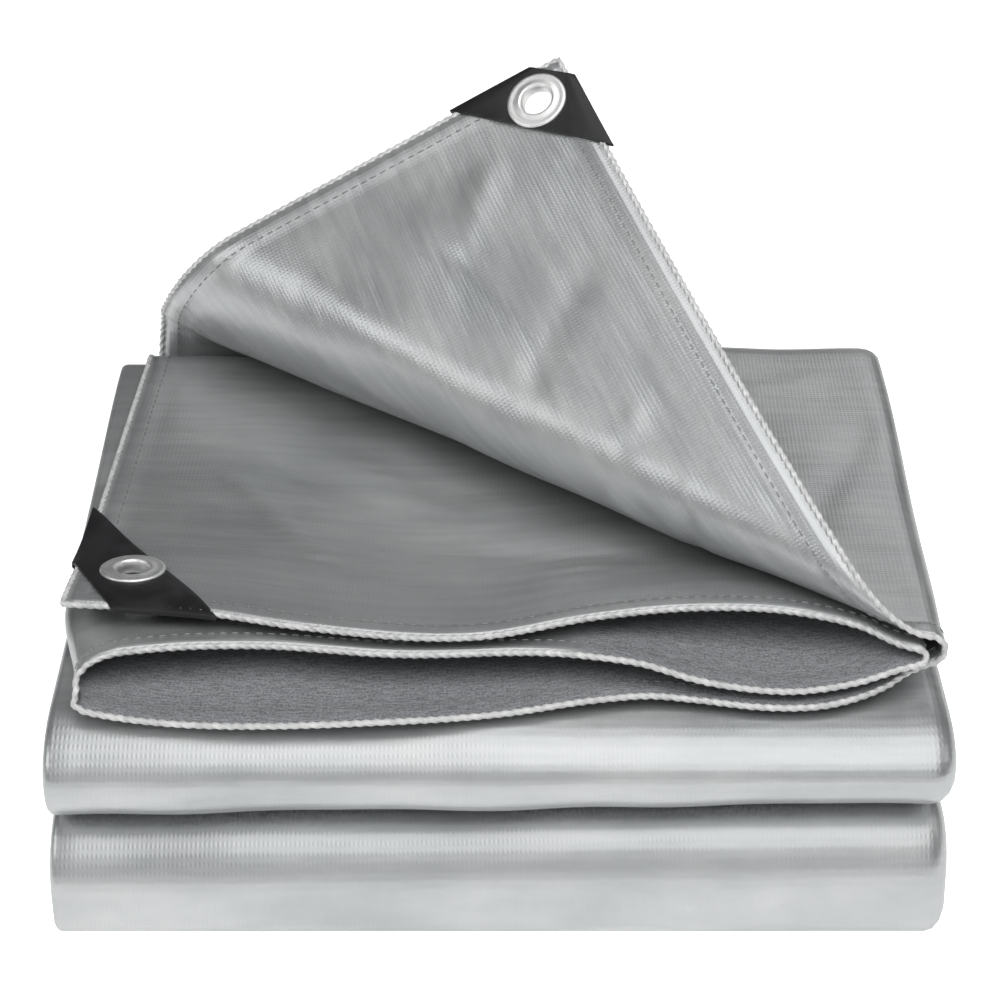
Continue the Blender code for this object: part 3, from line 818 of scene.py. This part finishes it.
def rope_tree(finish, sizes):
    """Sweeps a three stranded section along the line, turning it once in each pitch."""
    tree, start, end = new_tree("hem rope", sizes)
    curve = add_node(tree, "GeometryNodeMeshToCurve")
    join(tree, start.outputs["Geometry"], curve.inputs["Mesh"])
    evenly = add_node(tree, "GeometryNodeResampleCurve", mode="LENGTH")
    join(tree, curve.outputs["Curve"], evenly.inputs["Curve"])
    join(tree, start.outputs["Step"], evenly.inputs["Length"])
    place = add_node(tree, "GeometryNodeSplineParameter")
    turns = maths(tree, "DIVIDE", place.outputs["Length"], start.outputs["Pitch"])
    tilt = maths(tree, "MULTIPLY", turns, 2 * math.pi)
    twist = add_node(tree, "GeometryNodeSetCurveTilt")
    join(tree, evenly.outputs["Curve"], twist.inputs["Curve"])
    join(tree, tilt, twist.inputs["Tilt"])
    circle = add_node(tree, "GeometryNodeCurvePrimitiveCircle")
    circle.inputs["Resolution"].default_value = ROPE_SIDES
    radius = maths(tree, "DIVIDE", start.outputs["Thickness"], 2.0)
    join(tree, radius, circle.inputs["Radius"])
    around = add_node(tree, "GeometryNodeSplineParameter")
    angle = maths(tree, "MULTIPLY", around.outputs["Factor"], ROPE_STRANDS * 2 * math.pi)
    strands = maths(tree, "COSINE", angle)
    swell = maths(tree, "MULTIPLY_ADD", strands, start.outputs["Strand depth"], 1.0)
    position = add_node(tree, "GeometryNodeInputPosition")
    scaled = add_node(tree, "ShaderNodeVectorMath", operation="SCALE")
    join(tree, position.outputs[0], scaled.inputs[0])
    join(tree, swell, scaled.inputs["Scale"])
    lobes = add_node(tree, "GeometryNodeSetPosition")
    join(tree, circle.outputs["Curve"], lobes.inputs["Geometry"])
    join(tree, scaled.outputs[0], lobes.inputs["Position"])
    sweep = add_node(tree, "GeometryNodeCurveToMesh")
    join(tree, twist.outputs["Curve"], sweep.inputs["Curve"])
    join(tree, lobes.outputs["Geometry"], sweep.inputs["Profile Curve"])
    return end_tree(tree, sweep.outputs["Mesh"], finish, end)


def stitch_tree(finish, sizes):
    """Lays a short round stitch at each pitch of the line, along it."""
    tree, start, end = new_tree("hem stitches", sizes)
    curve = add_node(tree, "GeometryNodeMeshToCurve")
    join(tree, start.outputs["Geometry"], curve.inputs["Mesh"])
    spots = add_node(tree, "GeometryNodeCurveToPoints", mode="LENGTH")
    join(tree, curve.outputs["Curve"], spots.inputs["Curve"])
    join(tree, start.outputs["Pitch"], spots.inputs["Length"])
    thread = add_node(tree, "GeometryNodeMeshUVSphere")
    thread.inputs["Segments"].default_value = STITCH_SEGMENTS
    thread.inputs["Rings"].default_value = STITCH_RINGS
    thread.inputs["Radius"].default_value = 0.5
    shape = add_node(tree, "ShaderNodeCombineXYZ")
    join(tree, start.outputs["Thickness"], shape.inputs["X"])
    join(tree, start.outputs["Thickness"], shape.inputs["Y"])
    join(tree, start.outputs["Length"], shape.inputs["Z"])
    laid = add_node(tree, "GeometryNodeInstanceOnPoints")
    join(tree, spots.outputs["Points"], laid.inputs["Points"])
    join(tree, thread.outputs["Mesh"], laid.inputs["Instance"])
    join(tree, spots.outputs["Rotation"], laid.inputs["Rotation"])
    join(tree, shape.outputs[0], laid.inputs["Scale"])
    return end_tree(tree, laid.outputs["Instances"], finish, end)


def make_hem_rope(points, finish):
    """The rope in the hem's edge, as one closed loop round the cloth."""
    sizes = {
        "Thickness": ROPE_THICKNESS,
        "Pitch": ROPE_PITCH,
        "Strand depth": ROPE_STRAND_DEPTH,
        "Step": ROPE_STEP,
    }
    loop = edge_loop(points)
    edges = [(i, (i + 1) % len(loop)) for i in range(len(loop))]
    rope = line_object("hem_rope", loop, edges)
    run_tree(rope, rope_tree(finish, sizes), sizes)
    return smooth(rope)


def make_hem_stitches(columns, places, points, normals, finish):
    """Stitches on both faces of the hem, where it is sewn down, but not under the patches."""
    sizes = {
        "Length": STITCH_LENGTH,
        "Pitch": STITCH_PITCH,
        "Thickness": STITCH_THICKNESS,
    }
    seam = slice(SEAM_LINE, -SEAM_LINE)
    grid = np.stack(np.meshgrid(columns, places), axis=-1)
    flat_loop = edge_loop(grid[seam, seam])
    clear = np.ones(len(flat_loop), bool)
    for corner, (_, hem_far, _, side_far) in PATCHES.items():
        along_hem = flat_loop[:, 0] if corner == "lifted" else CLOTH_WIDTH - flat_loop[:, 0]
        clear &= along_hem / hem_far + flat_loop[:, 1] / side_far > 1
    lines = []
    edges = []
    for side in (1, -1):
        raised = points + normals * side * (HEM_CLOTH / 2 + STITCH_LIES_ABOVE)
        loop = edge_loop(raised[seam, seam])
        first = sum(len(line) for line in lines)
        lines.append(loop)
        edges += [(first + i, first + (i + 1) % len(loop)) for i in np.flatnonzero(clear)]
    stitches = line_object("hem_stitches", np.concatenate(lines), edges)
    run_tree(stitches, stitch_tree(finish, sizes), sizes)
    return smooth(stitches)


def patch_outline(corner, share, band):
    """Distances along hem and side, at a share of the way from hem to side and of the way out
    across the patch, the band."""
    hem_near, hem_far, side_near, side_far = PATCHES[corner]
    hem_reach = hem_near + (hem_far - hem_near) * band
    side_reach = side_near + (side_far - side_near) * band
    over = PATCH_OVERHANG
    along_hem = hem_reach * (1 - share) - over * share
    along_side = side_reach * share - over * (1 - share)
    return along_hem, along_side


def make_patch(corner, finish):
    """A black piece folded round the corner's hem and side, as a sleeve with open ends."""
    way_out = [(i / PATCH_STEPS, 1.0) for i in range(PATCH_STEPS + 1)]
    way_back = [(1 - i / PATCH_STEPS, -1.0) for i in range(PATCH_STEPS + 1)]
    loop = way_out + way_back
    rise = PATCH_LIES_ABOVE + PATCH_SHEET / 2
    points = []
    for band in np.linspace(0, 1, PATCH_BANDS + 1):
        for share, side in loop:
            steps_in = min(share, 1 - share) * PATCH_STEPS
            drawn_in = PATCH_DRAWN_IN * (1 - soft_step(steps_in / PATCH_ROUND_STEPS))
            place = patch_outline(corner, share, band)
            normal = corner_normal(corner, *place)
            points.append(corner_point(corner, *place) + normal * side * rise * (1 - drawn_in))
    around = len(loop)
    faces = []
    for first in range(0, PATCH_BANDS * around, around):
        for j in range(around):
            k = (j + 1) % around
            faces.append((first + j, first + k, first + around + k, first + around + j))
    patch = mesh_object("corner_patch_" + corner, points, faces)
    mend_faces(patch, MERGE_WITHIN)
    thickness = patch.modifiers.new("thickness", "SOLIDIFY")
    thickness.thickness = PATCH_SHEET
    thickness.offset = 0.0
    punch = make_punch(corner)
    hole = patch.modifiers.new("eyelet hole", "BOOLEAN")
    hole.operation = "DIFFERENCE"
    hole.object = punch
    soften = patch.modifiers.new("soft edges", "BEVEL")
    soften.width = PATCH_SOFT_EDGE
    soften.segments = 2
    soften.limit_method = "ANGLE"
    soften.angle_limit = math.radians(50)
    apply_modifiers(patch)
    bpy.data.objects.remove(punch)
    patch.data.materials.clear()
    patch.data.materials.append(finish)
    return smooth(patch, sharp_degrees=40)


def mend_faces(obj, merge_within=None):
    """Merges doubled points where asked, and turns all faces outwards."""
    fix = bmesh.new()
    fix.from_mesh(obj.data)
    if merge_within:
        bmesh.ops.remove_doubles(fix, verts=fix.verts, dist=merge_within)
    bmesh.ops.recalc_face_normals(fix, faces=fix.faces)
    fix.to_mesh(obj.data)
    fix.free()


def on_eyelet(corner):
    """Turns and moves what is modelled upright at the centre to the eyelet's place."""
    centre, axis = eyelet_place(corner)
    return Matrix.Translation(centre) @ axis.to_track_quat("Z", "Y").to_matrix().to_4x4()


def make_punch(corner):
    """A rod through the eyelet's place, which cuts the patch's hole."""
    rod = bmesh.new()
    bmesh.ops.create_cone(
        rod,
        cap_ends=True,
        segments=48,
        radius1=PATCH_HOLE_RADIUS,
        radius2=PATCH_HOLE_RADIUS,
        depth=PUNCH_DEPTH,
    )
    mesh = bpy.data.meshes.new("punch")
    rod.to_mesh(mesh)
    rod.free()
    mesh.transform(on_eyelet(corner))
    punch = bpy.data.objects.new("punch", mesh)
    bpy.context.scene.collection.objects.link(punch)
    return punch


def make_eyelet(corner, finish):
    """A pressed aluminium eyelet, turned from its section: flange, rolled barrel and washer."""
    hole = EYELET_HOLE / 2
    outer = EYELET_OUTER / 2
    seat = PATCH_LIES_ABOVE + PATCH_SHEET
    wall = EYELET_WALL
    profile = [
        # distance from the axis, height over the middle of the cloth
        (hole, seat - 0.0010),
        (hole + 0.0001, seat + 0.0004),
        (hole + 0.0005, seat + 0.0011),
        (hole + 0.0011, seat + 0.0014),
        (hole + 0.0018, seat + 0.0013),
        (hole + 0.0030, seat + 0.0009),
        (hole + 0.0042, seat + 0.0008),
        (outer - 0.0013, seat + 0.0010),
        (outer - 0.0006, seat + 0.0009),
        (outer - 0.0001, seat + 0.0005),
        (outer, seat + 0.0001),
        (outer - 0.0002, seat - 0.0002),
        (hole + wall + 0.0004, seat - 0.0001),
        (hole + wall, seat - 0.0004),
        (hole + wall, -seat + 0.0002),
        (outer - 0.0012, -seat + 0.0001),
        (outer - 0.0008, -seat - 0.0003),
        (outer - 0.0014, -seat - wall),
        (hole + 0.0030, -seat - wall),
        (hole + 0.0016, -seat - 0.0011),
        (hole + 0.0006, -seat - 0.0009),
        (hole, -seat - 0.0002),
    ]
    points = []
    for step in range(EYELET_STEPS):
        angle = 2 * math.pi * step / EYELET_STEPS
        for radius, height in profile:
            points.append((radius * math.cos(angle), radius * math.sin(angle), height))
    count = len(profile)
    faces = []
    for step in range(EYELET_STEPS):
        here = step * count
        after = (step + 1) % EYELET_STEPS * count
        for i in range(count):
            k = (i + 1) % count
            faces.append((here + i, after + i, after + k, here + k))
    ring = mesh_object("eyelet_ring_" + corner, points, faces)
    mend_faces(ring)
    ring.data.transform(on_eyelet(corner))
    ring.data.materials.append(finish)
    return smooth(ring, sharp_degrees=60)


def new_material(name, colour, roughness, metallic):
    made = bpy.data.materials.new(name)
    made.use_nodes = True
    shader = made.node_tree.nodes["Principled BSDF"]
    shader.inputs["Base Color"].default_value = (*colour, 1.0)
    shader.inputs["Roughness"].default_value = roughness
    shader.inputs["Metallic"].default_value = metallic
    return made, made.node_tree, shader


def noise(tree, vector, scale, detail, roughness=0.5):
    node = add_node(tree, "ShaderNodeTexNoise")
    node.inputs["Scale"].default_value = scale
    node.inputs["Detail"].default_value = detail
    node.inputs["Roughness"].default_value = roughness
    join(tree, vector, node.inputs["Vector"])
    return node.outputs["Fac"]


def object_place(tree):
    return add_node(tree, "ShaderNodeTexCoord").outputs["Object"]


def pattern(tree, uv, repeats, detail, roughness=0.5):
    """Noise drawn out across and along the cloth."""
    node = add_node(tree, "ShaderNodeMapping")
    node.inputs["Scale"].default_value = repeats
    join(tree, uv, node.inputs["Vector"])
    return noise(tree, node.outputs["Vector"], 1.0, detail, roughness)


def in_range(tree, value, low=0.0, high=1.0, to_low=0.0, to_high=1.0):
    """The value, with the range from low to high laid onto another range."""
    node = add_node(tree, "ShaderNodeMapRange")
    join(tree, value, node.inputs["Value"])
    node.inputs["From Min"].default_value = low
    node.inputs["From Max"].default_value = high
    node.inputs["To Min"].default_value = to_low
    node.inputs["To Max"].default_value = to_high
    return node.outputs["Result"]


def two_colours(tree, factor, first, second):
    """A mix of two colours, each given as numbers or as the output of a node."""
    node = add_node(tree, "ShaderNodeMix", data_type="RGBA")
    for socket, colour in ((node.inputs["A"], first), (node.inputs["B"], second)):
        if isinstance(colour, tuple):
            socket.default_value = (*colour, 1.0)
        else:
            join(tree, colour, socket)
    join(tree, factor, node.inputs["Factor"])
    return node.outputs["Result"]


def tapes(tree, uv, direction):
    """Ridges of the woven tapes in one direction."""
    node = add_node(tree, "ShaderNodeTexWave", bands_direction=direction)
    node.inputs["Scale"].default_value = WAVE_LENGTH / TAPE_PITCH
    join(tree, uv, node.inputs["Vector"])
    return node.outputs["Fac"]


def raise_surface(tree, shader, height, strength, distance, under=None):
    """Raises the surface by a pattern, on top of the one under it."""
    node = add_node(tree, "ShaderNodeBump")
    node.inputs["Strength"].default_value = strength
    node.inputs["Distance"].default_value = distance
    join(tree, height, node.inputs["Height"])
    if under is not None:
        join(tree, under, node.inputs["Normal"])
    join(tree, node.outputs["Normal"], shader.inputs["Normal"])
    return node.outputs["Normal"]


def silver_cloth():
    """Silver coating over a flat tape weave, streaked along the tapes. In the open folds and along
    the slit, a dark speckled weave colour is painted in as shade."""
    made, tree, shader = new_material("silver_coated_cloth", SILVER_PLAIN, 0.4, SILVER_METALLIC)
    uv = add_node(tree, "ShaderNodeUVMap", uv_map="cloth").outputs["UV"]
    streaks = pattern(tree, uv, STREAKS, detail=5.0, roughness=0.6)
    clouds = pattern(tree, uv, CLOUDS, detail=4.0)
    facets = pattern(tree, uv, FACETS, detail=2.0, roughness=0.4)
    streak_share = maths(tree, "MULTIPLY", streaks, 0.45)
    cloud_share = maths(tree, "MULTIPLY", clouds, 0.55)
    wear = maths(tree, "ADD", streak_share, cloud_share)
    shade = in_range(tree, wear, low=0.35, high=0.65)
    coated = two_colours(tree, shade, SILVER_SHADED, SILVER_BRIGHT)

    # Painted shade for the open folds and the slit: a dark colour with a speckled weave grain
    threads = pattern(tree, uv, THREADS, detail=2.0)
    specks = pattern(tree, uv, SPECKS, detail=1.0)
    grain = in_range(tree, maths(tree, "ADD", threads, specks), low=0.76, high=1.26)
    fold_shade_colour = two_colours(tree, grain, FOLD_SHADE_DARK, FOLD_SHADE_LIGHT)
    # The mask of the painted shade, and how much of it covers the silver
    shade_mask = add_node(tree, "ShaderNodeAttribute", attribute_name="painted_fold_shade").outputs["Fac"]
    painted_shade_share = maths(tree, "MULTIPLY", shade_mask, FOLD_SHADE_SHARE)

    join(tree, two_colours(tree, painted_shade_share, coated, fold_shade_colour), shader.inputs["Base Color"])
    rough = in_range(tree, wear, low=0.3, high=0.7, to_low=0.33, to_high=0.47)
    join(tree, maths(tree, "MAXIMUM", rough, painted_shade_share), shader.inputs["Roughness"])
    metallic = in_range(tree, shade_mask, to_low=SILVER_METALLIC, to_high=FOLD_SHADE_METALLIC)
    join(tree, metallic, shader.inputs["Metallic"])

    weave = maths(tree, "MULTIPLY", tapes(tree, uv, "X"), tapes(tree, uv, "Y"))
    woven = raise_surface(tree, shader, weave, strength=0.30, distance=0.0002)
    streaked = raise_surface(tree, shader, streaks, strength=0.22, distance=0.0006, under=woven)
    faceted = raise_surface(tree, shader, facets, strength=0.30, distance=0.002, under=streaked)
    raise_surface(tree, shader, clouds, strength=0.30, distance=0.004, under=faceted)
    return made


def hem_rope_finish():
    """Pale grey rope, a little worn."""
    made, tree, shader = new_material("hem_rope_grey", ROPE_PLAIN, roughness=0.5, metallic=0.2)
    place = object_place(tree)
    wear = in_range(tree, noise(tree, place, scale=240.0, detail=4.0), low=0.35, high=0.65)
    join(tree, two_colours(tree, wear, ROPE_WORN, ROPE_CLEAN), shader.inputs["Base Color"])
    fibres = noise(tree, place, scale=1500.0, detail=2.0)
    raise_surface(tree, shader, fibres, strength=0.2, distance=0.0002)
    return made


def thread_finish():
    """Darker grey sewing thread."""
    made, tree, shader = new_material("hem_thread", THREAD_GREY, roughness=0.45, metallic=0.5)
    fibres = noise(tree, object_place(tree), scale=2500.0, detail=2.0)
    raise_surface(tree, shader, fibres, strength=0.3, distance=0.0002)
    return made


def black_patch_finish():
    """Black plastic with a fine grain, rubbed in places."""
    made, tree, shader = new_material("black_patch", PATCH_PLAIN, roughness=0.42, metallic=0.0)
    place = object_place(tree)
    grain = noise(tree, place, scale=900.0, detail=3.0)
    marks = noise(tree, place, scale=60.0, detail=4.0)
    rubbed = in_range(tree, marks, low=0.4, high=0.7)
    join(tree, two_colours(tree, rubbed, PATCH_BLACK, PATCH_RUBBED), shader.inputs["Base Color"])
    rough = in_range(tree, marks, low=0.35, high=0.7, to_low=0.36, to_high=0.55)
    join(tree, rough, shader.inputs["Roughness"])
    raise_surface(tree, shader, grain, strength=0.25, distance=0.0003)
    return made


def aluminium_finish():
    """Satin aluminium, dulled in places."""
    made, tree, shader = new_material("satin_aluminium", ALUMINIUM_PLAIN, 0.25, metallic=0.9)
    place = object_place(tree)
    marks = noise(tree, place, scale=300.0, detail=4.0)
    rough = in_range(tree, marks, low=0.35, high=0.7, to_low=0.38, to_high=0.52)
    join(tree, rough, shader.inputs["Roughness"])
    dulled = in_range(tree, marks, low=0.4, high=0.7)
    colour = two_colours(tree, dulled, ALUMINIUM_BRIGHT, ALUMINIUM_DULL)
    join(tree, colour, shader.inputs["Base Color"])
    dents = noise(tree, place, scale=800.0, detail=2.0)
    raise_surface(tree, shader, dents, strength=0.08, distance=0.0002)
    return made


def floor_finish():
    """A pale floor that glows a little, and more to the camera, so that it looks white."""
    made, tree, shader = new_material("pale_floor", FLOOR_WHITE, roughness=0.8, metallic=0.0)
    shader.inputs["Emission Color"].default_value = GLOW_WHITE
    seen = add_node(tree, "ShaderNodeLightPath").outputs["Is Camera Ray"]
    glow = in_range(tree, seen, to_low=FLOOR_GLOW, to_high=FLOOR_GLOW_SEEN)
    join(tree, glow, shader.inputs["Emission Strength"])
    return made


def make_floor():
    bpy.ops.mesh.primitive_plane_add(size=FLOOR_SIZE, location=(0.0, 0.0, FLOOR_HEIGHT))
    floor = bpy.context.object
    floor.name = "studio_floor"
    floor.data.materials.append(floor_finish())


def make_camera():
    """The camera, where the photograph was taken from."""
    scene = bpy.context.scene
    view = bpy.data.cameras.new("photo_camera")
    view.lens = CAMERA_LENS
    view.sensor_width = CAMERA_SENSOR
    view.clip_start = CAMERA_STARTS_AT
    camera = bpy.data.objects.new("photo_camera", view)
    scene.collection.objects.link(camera)
    camera.location = (0.0, -CAMERA_BEFORE_STACK - ORIGIN_Y, CAMERA_HEIGHT)
    camera.rotation_euler = (math.radians(CAMERA_TILT), 0.0, 0.0)
    scene.camera = camera
    scene.view_settings.view_transform = "Standard"


def make_lights():
    """Soft boxes round the table, and a dim sky."""
    scene = bpy.context.scene
    for name, place, looks_at, size, power in LIGHTS:
        lamp = bpy.data.lights.new(name, "AREA")
        lamp.shape = "RECTANGLE"
        lamp.size, lamp.size_y = size
        lamp.energy = power
        box = bpy.data.objects.new(name, lamp)
        scene.collection.objects.link(box)
        box.location = place
        way = Vector(looks_at) - Vector(place)
        box.rotation_euler = way.to_track_quat("-Z", "Y").to_euler()
    scene.world = bpy.data.worlds.new("studio")
    scene.world.use_nodes = True
    sky = scene.world.node_tree.nodes["Background"]
    sky.inputs["Color"].default_value = SKY_WHITE
    sky.inputs["Strength"].default_value = SKY_STRENGTH


def main():
    columns, places, points = fold_sheet()
    normals = grid_normals(points)
    cloth = make_cloth(columns, places, points)
    cloth.data.materials.append(silver_cloth())
    rope = make_hem_rope(points, hem_rope_finish())
    stitches = make_hem_stitches(columns, places, points, normals, thread_finish())
    black = black_patch_finish()
    metal = aluminium_finish()
    patches = {corner: make_patch(corner, black) for corner in PATCHES}
    rings = {corner: make_eyelet(corner, metal) for corner in PATCHES}
    for piece in (cloth, rope, stitches):
        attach(piece, "root")
    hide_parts("tarp")
    for corner in PATCHES:
        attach(patches[corner], "root")
        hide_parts("patch_" + corner)
        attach(rings[corner], "root")
        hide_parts("eyelet_" + corner)
    make_floor()
    make_camera()
    make_lights()


main()
